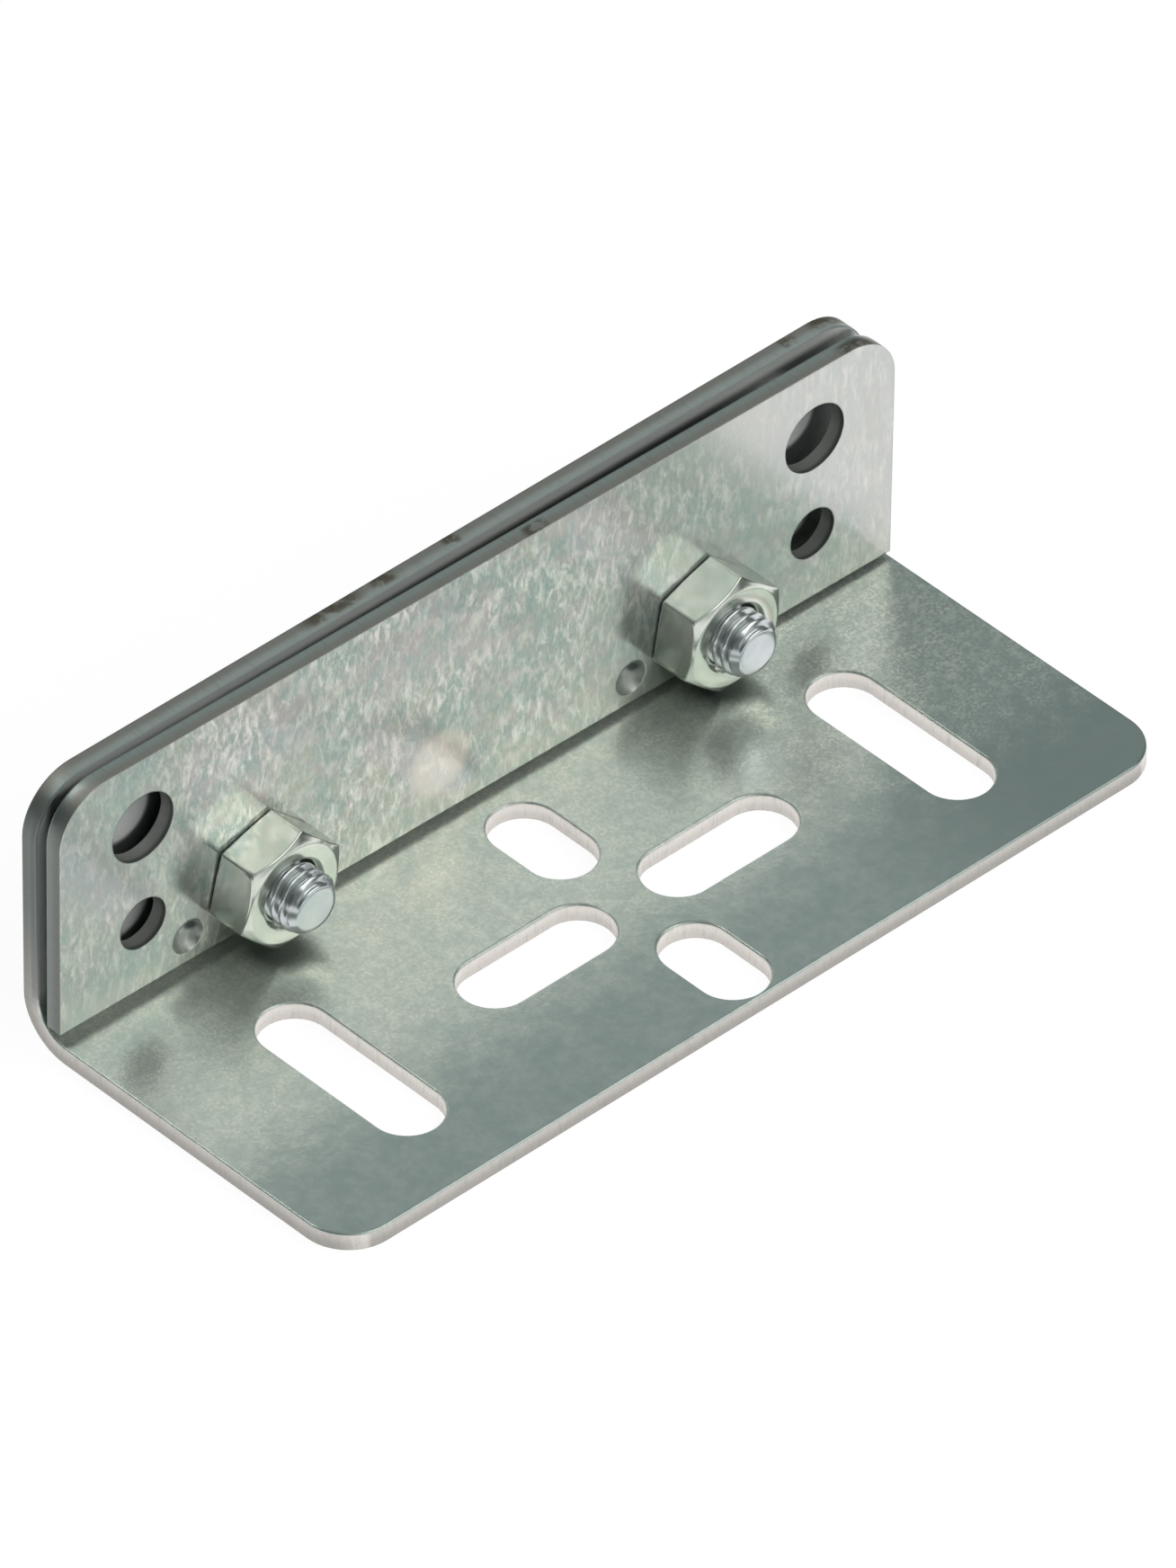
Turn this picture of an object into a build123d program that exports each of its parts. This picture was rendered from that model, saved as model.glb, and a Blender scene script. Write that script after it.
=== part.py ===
from build123d import *
from math import asin, atan2, cos, sin, sqrt, tan, radians
import os

os.makedirs("parts", exist_ok=True)

# A mounting bracket of punched and folded sheet steel. A flat foot with adjusting slots carries
# an upright flange, and a clamp plate of the same sheet stands in front of the flange on two
# screws with hexagon nuts. Millimetres.
# Frame: the origin is on the foot's underside, at the centre of the cross of four slots.
# +X runs along the bracket to the right, +Y from the foot's open edge back to the flange, +Z up.

# Sheet, and the rounding that the punch leaves along one side of every cut
sheet = 1.2
punch_round = 0.14

# Angle bracket. The foot reaches a narrow web past the front slot of the cross, and the bend
# starts a wider web behind the rear one.
bracket_length = 65.0
flange_height = 18.55
bend_inner_radius = 2.2
foot_corner_radius = 3.2
flange_corner_radius = 3.65
front_web = 0.30
rear_web = 1.4

# Foot slots: a cross of four round the origin, and a long one near each end
slot_width = 4.5
cross_slot_offset = 7.2
lengthwise_slot_length = 11.1
crosswise_slot_length = 7.5
end_slot_length = 13.9
end_slot_offset = 21.7

# Screws through flange and plate; each lies off its hole's centre by a share of the play
screw_diameter = 3.95
screw_hole_diameter = 4.5
screw_inset = 15.25
screw_past_nut = 1.82
screw_tip_chamfer = 0.52
head_across_flats = 7.0
head_height = 2.8
left_screw_share = (-0.36, 0.47)
right_screw_share = (-0.33, -0.82)

# Hexagon nuts: the turn is that of one corner, upwards from the bracket's length
nut_across_flats = 7.0
nut_height = 3.1
nut_bore_clearance = 0.05
nut_mouth_chamfer = 0.36
nut_seat_clearance = 0.02
nut_floor_clearance = 0.18
left_nut_turn = 16.7
right_nut_turn = 19.7
hexagon_chamfer = 30.0
hexagon_face_share = 0.94

# Clamp plate: as long as the bracket and lower than the flange, with a wider gap to the flange
# at the right end
plate_lower_by = 1.6
plate_corner_radius = 3.5
plate_gap_left = 0.68
plate_gap_right = 1.20
plate_edge_clearance = 0.12
end_hole_inset = 6.35
large_hole_diameter = 4.65
large_hole_below_top = 5.0
small_hole_diameter = 3.45
small_hole_above_edge = 4.8

# Pips pressed out of the clamp plate towards the flange, one to the left of each screw
pip_diameter = 2.5
dish_diameter = 2.3
pip_beside_screw = 5.45
pip_height_above_edge = 1.85
pip_clearance = 0.06

# Sizes and places that follow from those
bend_outer_radius = bend_inner_radius + sheet
cross_reach = cross_slot_offset + crosswise_slot_length / 2
foot_front = -cross_reach - front_web
flange_rear = cross_reach + rear_web + bend_outer_radius
flange_front = flange_rear - sheet
screw_play = (screw_hole_diameter - screw_diameter) / 2
nut_corner_radius = nut_across_flats / sqrt(3)
screw_height = sheet + nut_floor_clearance + screw_play + nut_corner_radius
screw_places = (screw_inset - bracket_length / 2, bracket_length / 2 - screw_inset)
plate_length = bracket_length
plate_height = flange_height - plate_lower_by


def bend_rise(gap):
    """Height of the bend's inner surface at that distance in front of the flange."""
    into_bend = max(bend_inner_radius - gap, 0)
    return sheet + bend_inner_radius - sqrt(bend_inner_radius ** 2 - into_bend ** 2)


# Angle bracket: the folded section is drawn along the foot and up the flange, then pulled out
with BuildPart() as angle_bracket:
    with BuildSketch(Plane.YZ.offset(-bracket_length / 2)):
        with BuildLine():
            outside = FilletPolyline(
                (foot_front, 0),
                (flange_rear, 0),
                (flange_rear, flange_height),
                radius=bend_outer_radius,
            )
            inside = FilletPolyline(
                (foot_front, sheet),
                (flange_front, sheet),
                (flange_front, flange_height),
                radius=bend_inner_radius,
            )
            Line(outside @ 0, inside @ 0)
            Line(outside @ 1, inside @ 1)
        make_face()
    extrude(amount=bracket_length)

    # free corners of the foot and of the flange
    fillet(angle_bracket.edges().filter_by(Axis.Z).group_by(Axis.Y)[0], foot_corner_radius)
    fillet(angle_bracket.edges().filter_by(Axis.Y).group_by(Axis.Z)[-1], flange_corner_radius)

    # the punch came from the side that is now the foot's top and the flange's front, so the rim
    # of that skin is rounded all the way round
    sides = angle_bracket.faces().filter_by(GeomType.PLANE)
    foot_top = sides.filter_by(Axis.Z).sort_by(SortBy.AREA)[-2:].sort_by(Axis.Z)[-1]
    flange_skin = sides.filter_by(Axis.Y).sort_by(SortBy.AREA)[-2:].sort_by(Axis.Y)[0]
    bend_skin = angle_bracket.faces().filter_by(GeomType.CYLINDER).sort_by(SortBy.AREA)[-2]
    skin_edges = foot_top.edges() + flange_skin.edges() + bend_skin.edges()
    rim = [edge for edge in skin_edges if sum(edge.is_same(other) for other in skin_edges) == 1]
    fillet(rim, punch_round)

    # adjusting slots through the foot, their upper rims eased by as much
    with BuildSketch():
        with Locations((-cross_slot_offset, 0), (cross_slot_offset, 0)):
            SlotOverall(lengthwise_slot_length, slot_width)
        with Locations((0, -cross_slot_offset), (0, cross_slot_offset)):
            SlotOverall(crosswise_slot_length, slot_width, rotation=90)
        with Locations((-end_slot_offset, 0), (end_slot_offset, 0)):
            SlotOverall(end_slot_length, slot_width, rotation=90)
    extrude(amount=sheet, mode=Mode.SUBTRACT)
    slot_walls = angle_bracket.faces(Select.LAST)
    chamfer(slot_walls.edges().filter_by_position(Axis.Z, sheet, sheet), punch_round)

    # clearance holes for the screws through the flange
    with BuildSketch(Plane.XZ.offset(-flange_rear)):
        with Locations(*[(x, screw_height) for x in screw_places]):
            Circle(screw_hole_diameter / 2)
    extrude(amount=sheet, mode=Mode.SUBTRACT)

angle_bracket.part.label = "angle_bracket"
export_step(angle_bracket.part, "parts/angle_bracket.step")

# Clamp plate: its lower rear edge rides on the inside of the bend, so the end with the wider gap
# hangs lower. The plate is drawn on its rear face and grows towards the front.
plate_foot_left = bend_rise(plate_gap_left) + plate_edge_clearance
plate_foot_right = bend_rise(plate_gap_right) + plate_edge_clearance
swing = atan2(plate_gap_right - plate_gap_left, plate_length)
droop = asin((plate_foot_left - plate_foot_right) / plate_length)
plate_rear = Plane(
    origin=(-plate_length / 2, flange_front - plate_gap_left, plate_foot_left),
    x_dir=(cos(swing) * cos(droop), -sin(swing) * cos(droop), -sin(droop)),
    z_dir=(-sin(swing), -cos(swing), 0),
)
plate_screw_height = screw_height - (plate_foot_left + plate_foot_right) / 2
plate_screw_places = [plate_length / 2 + x for x in screw_places]
pip_places = [x - pip_beside_screw for x in plate_screw_places]
pip_gap = min(plate_gap_left + x * sin(swing) for x in pip_places)
pip_height = pip_gap - pip_clearance


def plate_front(x):
    """Where the plate's front face is along Y, at that place along the bracket."""
    from_left = x + plate_length / 2
    return flange_front - plate_gap_left - from_left * tan(swing) - sheet / cos(swing)


with BuildPart() as clamp_plate:
    with BuildSketch(plate_rear) as plate_outline:
        with Locations((plate_length / 2, plate_height / 2)):
            Rectangle(plate_length, plate_height)
        fillet(plate_outline.vertices().group_by(Axis.Y)[-1], plate_corner_radius)
    extrude(amount=sheet)

    # this piece was punched from its rear side, so that rim is the rounded one
    plate_depth = Axis(plate_rear.origin, plate_rear.z_dir)
    fillet(clamp_plate.faces().sort_by(plate_depth)[0].edges(), punch_round)

    # a large and a small hole near each end, and the screws' clearance holes, which are in line
    # with those of the flange; their rear rims are eased by as much
    with BuildSketch(plate_rear):
        for x in (end_hole_inset, plate_length - end_hole_inset):
            with Locations((x, plate_height - large_hole_below_top)):
                Circle(large_hole_diameter / 2)
            with Locations((x, small_hole_above_edge)):
                Circle(small_hole_diameter / 2)
        with Locations(*[(x, plate_screw_height) for x in plate_screw_places]):
            Circle(screw_hole_diameter / 2)
    extrude(amount=sheet, mode=Mode.SUBTRACT)
    hole_rims = clamp_plate.edges(Select.LAST).filter_by(GeomType.CIRCLE)
    chamfer(hole_rims.group_by(plate_depth)[0], punch_round)

    # each pip is a round cap on the rear face, with as deep a dish behind it in the front face
    for x in pip_places:
        centre = plate_rear.from_local_coords(Vector(x, pip_height_above_edge, 0))
        section = Plane(origin=centre, x_dir=plate_rear.x_dir, z_dir=-plate_rear.y_dir)
        pip_axis = Axis(centre, plate_rear.z_dir)
        with BuildSketch(section):
            with BuildLine():
                cap = TangentArc((0, -pip_height), (pip_diameter / 2, 0), tangent=(1, 0))
                Polyline(cap @ 1, (0, 0), cap @ 0)
            make_face()
        revolve(axis=pip_axis)
        with BuildSketch(section):
            with BuildLine():
                bowl = TangentArc((0, sheet - pip_height), (dish_diameter / 2, sheet), tangent=(1, 0))
                Polyline(bowl @ 1, (0, sheet), bowl @ 0)
            make_face()
        revolve(axis=pip_axis, mode=Mode.SUBTRACT)

clamp_plate.part.label = "clamp_plate"
export_step(clamp_plate.part, "parts/clamp_plate.step")

# Screws and nuts. The plate stands askew, so each nut meets it first at its right-hand corner.
# The two screws are alike: the head of one is against the flange, and the other stands off it.
nut_face_radius = hexagon_face_share * nut_across_flats / 2
nut_corner_drop = (nut_corner_radius - nut_face_radius) * tan(radians(hexagon_chamfer))
head_corner_radius = head_across_flats / sqrt(3)
head_face_radius = hexagon_face_share * head_across_flats / 2
head_corner_drop = (head_corner_radius - head_face_radius) * tan(radians(hexagon_chamfer))


def fastener(place, share, turn):
    """One fastener's axis (along and up the bracket), its nut's turn and the nut's rear face."""
    along = place + share[0] * screw_play
    up = screw_height + share[1] * screw_play
    return along, up, turn, plate_front(along + nut_corner_radius) - nut_seat_clearance


fasteners = {
    "left": fastener(screw_places[0], left_screw_share, left_nut_turn),
    "right": fastener(screw_places[1], right_screw_share, right_nut_turn),
}
screw_tips = {side: rear - nut_height - screw_past_nut for side, (_, _, _, rear) in fasteners.items()}
screw_length = flange_rear - min(screw_tips.values())

for side, (along, up, turn, nut_rear) in fasteners.items():
    under_head = Plane(
        origin=(along, screw_tips[side] + screw_length, up), x_dir=(1, 0, 0), z_dir=(0, -1, 0)
    )
    screw_axis = Axis(under_head.origin, under_head.z_dir)

    with BuildPart() as screw:
        # shank with a chamfered tip
        with BuildSketch(under_head):
            Circle(screw_diameter / 2)
        extrude(amount=screw_length)
        chamfer(screw.edges().sort_by(screw_axis)[-1], screw_tip_chamfer)
        # hexagon head, its corners turned off on the free face
        with BuildSketch(under_head):
            RegularPolygon(head_across_flats / 2, 6, major_radius=False)
        extrude(amount=-head_height)
        with BuildSketch(Plane(origin=under_head.origin, x_dir=under_head.x_dir, z_dir=-under_head.y_dir)):
            with BuildLine():
                Polyline(
                    (head_face_radius, -head_height),
                    (head_corner_radius, -head_height),
                    (head_corner_radius, head_corner_drop - head_height),
                    close=True,
                )
            make_face()
        revolve(axis=screw_axis, mode=Mode.SUBTRACT)

    screw.part.label = f"bolt_{side}"
    export_step(screw.part, f"parts/bolt_{side}.step")

    nut_seat = Plane(origin=(along, nut_rear, up), x_dir=(1, 0, 0), z_dir=(0, -1, 0))
    with BuildPart() as nut:
        with BuildSketch(nut_seat):
            RegularPolygon(nut_across_flats / 2, 6, major_radius=False, rotation=turn)
            Circle(screw_diameter / 2 + nut_bore_clearance / 2, mode=Mode.SUBTRACT)
        extrude(amount=nut_height)
        # countersunk mouths of the bore
        chamfer(nut.edges().filter_by(GeomType.CIRCLE), nut_mouth_chamfer)
        # corners turned off on the free face only: the face on the plate is flat out to its corners
        with BuildSketch(Plane(origin=nut_seat.origin, x_dir=nut_seat.x_dir, z_dir=-nut_seat.y_dir)):
            with BuildLine():
                Polyline(
                    (nut_face_radius, nut_height),
                    (nut_corner_radius, nut_height),
                    (nut_corner_radius, nut_height - nut_corner_drop),
                    close=True,
                )
            make_face()
        revolve(axis=Axis(nut_seat.origin, nut_seat.z_dir), mode=Mode.SUBTRACT)

    nut.part.label = f"nut_{side}"
    export_step(nut.part, f"parts/nut_{side}.step")
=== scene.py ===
# %% [markdown]
# # A slotted mounting bracket in zinc-plated steel
# This lesson dresses a bracket that was drawn in CAD. The real one is a punched and folded steel sheet with
# a clamp plate screwed in front of its upright flange. The CAD model already has the right shapes and
# sizes, so it is loaded as a fixed frame, and each piece of the picture is built on it, in metres, where
# the CAD says.

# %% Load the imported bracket
import math

import bmesh
import bpy
import numpy as np
from mathutils import Matrix, Vector


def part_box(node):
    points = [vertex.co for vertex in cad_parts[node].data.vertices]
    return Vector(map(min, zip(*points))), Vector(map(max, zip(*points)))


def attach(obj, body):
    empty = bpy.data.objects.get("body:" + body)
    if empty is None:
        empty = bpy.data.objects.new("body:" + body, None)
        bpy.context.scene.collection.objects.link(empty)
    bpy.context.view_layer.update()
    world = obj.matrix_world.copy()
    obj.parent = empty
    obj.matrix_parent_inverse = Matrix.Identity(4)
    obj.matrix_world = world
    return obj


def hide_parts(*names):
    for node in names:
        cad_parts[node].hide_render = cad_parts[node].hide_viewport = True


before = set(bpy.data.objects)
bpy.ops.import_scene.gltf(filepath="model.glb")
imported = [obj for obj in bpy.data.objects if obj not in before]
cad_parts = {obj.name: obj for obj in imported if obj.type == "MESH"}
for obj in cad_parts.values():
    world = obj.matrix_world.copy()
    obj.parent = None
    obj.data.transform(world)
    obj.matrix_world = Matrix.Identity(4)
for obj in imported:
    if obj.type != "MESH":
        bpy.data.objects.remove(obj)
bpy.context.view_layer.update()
mm = 0.001

# %% [markdown]
# ## The two sheet pieces
# The folded bracket and the clamp plate keep their CAD shape. A CAD mesh is loose triangles, so it shades
# in flat facets. Each piece therefore starts as a copy whose doubles are merged. Further down it gets
# corner normals of its own, so that its faces stay flat and the narrow rim left by the punch reads as a
# soft round.
#
# Both pieces also get a map of the flat sheet they were cut from. The attribute `unfolded` holds, in
# millimetres, the place along the sheet, the place across it with the bend rolled out, and the depth from
# the side that the punch came from. A pattern that reads it runs round the bend as the rolling marks do,
# and the cut walls can tell their smooth side from their torn side. The attribute `cut` is 1 on a cut wall.

# %% Merge a copy of a CAD node
same_place = 1e-7


def merged_copy(node_name, piece_name):
    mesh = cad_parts[node_name].data.copy()
    mesh.name = piece_name
    mesh.materials.clear()
    work = bmesh.new()
    work.from_mesh(mesh)
    loose = len(work.verts)
    bmesh.ops.remove_doubles(work, verts=work.verts, dist=same_place)
    bmesh.ops.dissolve_degenerate(work, edges=work.edges, dist=same_place)
    open_edges = sum(1 for edge in work.edges if not edge.is_manifold)
    work.to_mesh(mesh)
    work.free()
    if "custom_normal" in mesh.attributes:
        mesh.attributes.remove(mesh.attributes["custom_normal"])
    piece = bpy.data.objects.new(piece_name, mesh)
    bpy.context.collection.objects.link(piece)
    print(piece_name, "has", loose, "->", len(mesh.vertices), "vertices,", open_edges, "open edges")
    return piece


# %% [markdown]
# ### The bracket rolled out
# Before it was folded, the bracket was one flat blank. Its length and thickness don't change in the fold,
# and the line in the middle of its thickness keeps its length round the bend. So a point in the bend gets
# the arc along that line as its place across the blank, and a point on the flange gets the arc and its
# height.

# %% Unroll the folded bracket
sheet = 1.2
bend_inner_radius = 2.2
bend_axis_y, bend_axis_z = 12.35, 3.4
neutral_radius = bend_inner_radius + sheet / 2
bend_arc = neutral_radius * math.pi / 2


def unroll_bracket(place):
    x, y, z = place / mm
    across, up = y - bend_axis_y, z - bend_axis_z
    if across <= 0:
        return x, y, -up - bend_inner_radius
    if up >= 0:
        return x, bend_axis_y + bend_arc + up, across - bend_inner_radius
    turn = math.atan2(across, -up)
    return x, bend_axis_y + neutral_radius * turn, math.hypot(across, up) - bend_inner_radius


folded_bracket = merged_copy("angle_bracket", "folded_bracket")
bracket_map = np.array([unroll_bracket(vertex.co) for vertex in folded_bracket.data.vertices])
print("sheet unrolled from", bracket_map.min(axis=0).round(2), "to", bracket_map.max(axis=0).round(2))

# %% [markdown]
# ### The plate laid flat
# The clamp plate is flat already, but it stands askew: it swings out to the right and droops a little. Its
# map is measured from its lower left rear corner, along its own length, height and thickness, because it
# was punched from its rear side.

# %% Lay the clamp plate flat
half_length = 32.5
plate_corner = Vector((-half_length, 13.87, 1.9295)) * mm
swing, droop = math.radians(0.458), math.radians(0.325)
plate_along = Vector((math.cos(swing) * math.cos(droop), -math.sin(swing) * math.cos(droop),
                      -math.sin(droop)))
plate_out = Vector((-math.sin(swing), -math.cos(swing), 0))
plate_up = plate_out.cross(plate_along)


def lay_plate_flat(place):
    offset = (place - plate_corner) / mm
    return offset.dot(plate_along), offset.dot(plate_up), offset.dot(plate_out)


clamping_plate = merged_copy("clamp_plate", "clamping_plate")
plate_map = np.array([lay_plate_flat(vertex.co) for vertex in clamping_plate.data.vertices])
print("plate laid flat from", plate_map.min(axis=0).round(2), "to", plate_map.max(axis=0).round(2))

# %% [markdown]
# ### Faces, walls and rims
# A punched sheet has flat faces, upright cut walls, narrow round rims between them, and here also two
# pressed dishes. The CAD mesh doesn't say which triangle is which, but its direction does: a face looks out
# of the sheet, a wall looks along it, and a rim looks between the two. The dishes are known by their
# places.
#
# A wall triangle less than 0.6 mm deep counts as wall in part. On the foot a rim keeps the face's finish;
# on the flange and on the plate it takes the wall's, and `rims_from` says where that starts.

# %% Sort the polygons of a sheet
looks_out, looks_along = 0.97, 0.2
dish_reach = 1.3
whole_wall = 0.6
dish_places = [(9.8, 1.85), (44.3, 1.85)]


def out_of_bracket(place):
    across, up = max(place.y / mm - bend_axis_y, 0), min(place.z / mm - bend_axis_z, 0)
    if across == 0 and up == 0:
        return Vector((0, 0, 1))
    return Vector((0, across, up)).normalized()


def kind_of_polygon(facing, in_dish):
    if in_dish:
        return "pressed"
    if facing > looks_out:
        return "face"
    return "wall" if facing < looks_along else "rim"


def share_of_wall(kind, thickness, rims_count):
    if kind == "wall":
        return min(thickness / whole_wall, 1.0)
    return 1.0 if kind == "rim" and rims_count else 0.0


def sort_sheet_polygons(mesh, flat_map, out_of_sheet, rims_from, dishes):
    kinds, walls = [], []
    for polygon in mesh.polygons:
        corners = flat_map[list(polygon.vertices)]
        along, across = corners.mean(axis=0)[:2]
        thickness = corners[:, 2].max() - corners[:, 2].min()
        facing = abs(polygon.normal.dot(out_of_sheet(polygon.center)))
        in_dish = any(math.hypot(along - x, across - y) < dish_reach for x, y in dishes)
        kinds.append(kind_of_polygon(facing, in_dish))
        walls.append(share_of_wall(kinds[-1], thickness, across > rims_from))
    return kinds, walls


# %% [markdown]
# ### Normals for the sheet
# A punched edge shades well when its narrow rim carries the whole change of direction: at the rim's upper
# line the normal is the sheet's own, at its lower line the wall's. The flat faces then stay perfectly flat,
# however thin their triangles are. So every corner gets its normal from the kinds of polygon that meet
# there. An average takes in only triangles whose directions are alike, on a rim less strictly than on a
# wall.

# %% Corner normals by kind of polygon
like_a_rim, like_a_wall = 0.3, 0.7


def corner_normals(mesh, kinds, out_of_sheet):
    touching = [[] for _ in mesh.vertices]
    for polygon in mesh.polygons:
        for vertex in polygon.vertices:
            touching[vertex].append(polygon.index)

    def average(vertex, polygon, wanted, least_likeness):
        total = Vector()
        for other in touching[vertex]:
            normal = mesh.polygons[other].normal
            if kinds[other] == wanted and normal.dot(polygon.normal) > least_likeness:
                total += normal * mesh.polygons[other].area
        return total.normalized() if total.length > 0 else polygon.normal.copy()

    normals = []
    for polygon in mesh.polygons:
        kind = kinds[polygon.index]
        for vertex in polygon.vertices:
            met = {kinds[other] for other in touching[vertex]}
            out = out_of_sheet(mesh.vertices[vertex].co)
            out = out if out.dot(polygon.normal) > 0 else -out
            if kind == "face" or (kind == "rim" and "face" in met):
                normals.append(out)
            elif kind == "rim":
                normals.append(average(vertex, polygon, "wall" if "wall" in met else "rim", like_a_rim))
            else:
                normals.append(average(vertex, polygon, kind, like_a_wall))
    return normals


# %% Write the map, the walls and the normals
def write_attribute(mesh, name, kind, domain, values):
    layer = mesh.attributes.new(name, kind, domain)
    field = "vector" if kind == "FLOAT_VECTOR" else "value"
    layer.data.foreach_set(field, np.asarray(values, dtype=np.float32).ravel())


def finish_sheet_piece(piece, flat_map, out_of_sheet, rims_from, dishes):
    mesh = piece.data
    kinds, walls = sort_sheet_polygons(mesh, flat_map, out_of_sheet, rims_from, dishes)
    write_attribute(mesh, "unfolded", "FLOAT_VECTOR", "POINT", flat_map)
    write_attribute(mesh, "cut", "FLOAT", "FACE", walls)
    mesh.shade_smooth()
    mesh.normals_split_custom_set(corner_normals(mesh, kinds, out_of_sheet))
    print(piece.name, {kind: kinds.count(kind) for kind in sorted(set(kinds))})


finish_sheet_piece(folded_bracket, bracket_map, out_of_bracket, rims_from=20.0, dishes=[])
finish_sheet_piece(clamping_plate, plate_map, lambda place: plate_out, rims_from=-5.0, dishes=dish_places)

# %% [markdown]
# ## Zinc-plated sheet
# Bright zinc is a blurred mirror over a little white bloom. Most of what shows on it is reflection: the
# plate in the foot, the foot in the plate, the nuts in both. So the finish is about two thirds metallic,
# and its detail is in small changes of tone, roughness and slope. The patterns read `unfolded`, so every
# length below is in millimetres, and the scale of a noise says how many of its marks go into one.
#
# Materials and Geometry Nodes are both trees of nodes. Made by hand they are dragged and wired; made in a
# script it is the same work, so short helpers keep it readable. They wire or fill a node's inputs, add a
# node, add a Math node and hand back its result, and stand for a product.

# %% Node helpers
def fill_inputs(tree, node, inputs):
    for name, value in inputs.items():
        if isinstance(value, bpy.types.NodeSocket):
            tree.links.new(value, node.inputs[name])
        else:
            node.inputs[name].default_value = value
    return node


def add_node(tree, kind, inputs=None, **settings):
    node = tree.nodes.new(kind)
    for name, value in settings.items():
        setattr(node, name, value)
    return fill_inputs(tree, node, inputs or {})


def result(tree, operation, first, second=None, third=None, clamp=False):
    node = tree.nodes.new("ShaderNodeMath")
    node.operation = operation
    node.use_clamp = clamp
    given = enumerate((first, second, third))
    return fill_inputs(tree, node, {n: value for n, value in given if value is not None}).outputs[0]


def times(tree, first, second):
    return result(tree, "MULTIPLY", first, second)


# %% Pattern helpers
def stretched_noise(tree, vector, stretch, detail, roughness=0.5, distortion=0.0, lean=0.0):
    mapping = add_node(tree, "ShaderNodeMapping", {
        "Vector": vector, "Scale": stretch, "Rotation": (0, 0, math.radians(lean))})
    noise = add_node(
        tree, "ShaderNodeTexNoise",
        {"Vector": mapping.outputs[0], "Scale": 1.0, "Detail": detail,
         "Roughness": roughness, "Distortion": distortion},
    )
    return noise.outputs["Fac"]


def step_between(tree, value, low, high, to_low=0.0, to_high=1.0):
    node = add_node(
        tree, "ShaderNodeMapRange",
        {"Value": value, "From Min": low, "From Max": high, "To Min": to_low, "To Max": to_high},
        interpolation_type="SMOOTHSTEP",
    )
    return node.outputs[0]


def blend(tree, share, first, second, colours=None):
    node = tree.nodes.new("ShaderNodeMix")
    colours = isinstance(second, tuple) if colours is None else colours
    node.data_type = "RGBA" if colours else "FLOAT"
    slots = (0, 6, 7) if colours else (0, 2, 3)
    given = [(*value, 1.0) if isinstance(value, tuple) else value for value in (share, first, second)]
    fill_inputs(tree, node, dict(zip(slots, given)))
    return node.outputs[2 if colours else 0]


def spot(tree, place, along, across, radius, softness):
    offset = add_node(tree, "ShaderNodeVectorMath", {0: place, 1: (along, across, 0)}, operation="SUBTRACT")
    flat = add_node(tree, "ShaderNodeVectorMath", {0: offset.outputs[0], 1: (1, 1, 0)}, operation="MULTIPLY")
    away = add_node(tree, "ShaderNodeVectorMath", {0: flat.outputs[0]}, operation="LENGTH").outputs["Value"]
    return step_between(tree, away, radius + softness, radius - softness)


# %% [markdown]
# ### The clamp plate's ground
# Under the plate's strokes lie soft patches of teal, straw and pink, a few millimetres wide, perhaps the
# tints of the film that seals the zinc. Noise at two scales gives teal and straw, and one more noise the
# pink. The plate is darker towards both ends, and its upper right corner is lighter with a painted highlight.
# The strokes fade where it is dark.

# %% Patches and ends of the plate
teal, straw, pink = (0.38, 0.48, 0.47), (0.53, 0.55, 0.48), (0.58, 0.52, 0.52)
dark_plate, painted_corner_highlight = (0.37, 0.44, 0.43), (0.98, 0.97, 0.94)
dark_plate_ends = [(34.0, 50.0, 0.48), (14.0, 5.0, 0.50)]


def plate_patches(tree, place):
    drift = stretched_noise(tree, place, (0.13, 0.16, 0.2), 2.0, 0.5)
    patches = stretched_noise(tree, place, (0.75, 0.55, 0.5), 5.0, 0.68)
    patches = result(tree, "MULTIPLY_ADD", drift, 0.6, times(tree, patches, 0.7))
    warmth = stretched_noise(tree, place, (0.60, 0.75, 0.5), 5.0, 0.70)
    colour = blend(tree, step_between(tree, patches, 0.50, 0.80), teal, straw)
    colour = blend(tree, step_between(tree, warmth, 0.42, 0.66, 0.0, 0.85), colour, pink)
    return patches, colour


def plate_ends(tree, parts, colour):
    loud = 1.0
    for dark_from, dark_to, share in dark_plate_ends:
        dark_end = step_between(tree, parts["X"], dark_from, dark_to, 0.0, share)
        colour = blend(tree, dark_end, colour, dark_plate)
        loud = result(tree, "SUBTRACT", loud, dark_end)
    # A painted highlight lightens the upper right corner.
    light_end = step_between(tree, result(tree, "ADD", parts["X"], parts["Y"]), 62.0, 70.0, 0.0, 0.45)
    return blend(tree, light_end, colour, painted_corner_highlight), loud, light_end


# %% [markdown]
# ### Strokes on the plate
# The plate is covered with light strokes, about 0.15 mm wide and up to a millimetre long, that lean a
# little to the right: the peaks of a noise stretched along them. A broad and a fine noise together look
# less regular than one. In the light corner, longer dark streaks lie over them.

# %% Strokes and streaks
light_stroke, dark_streak = (0.97, 0.95, 0.91), (0.66, 0.65, 0.63)


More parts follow.
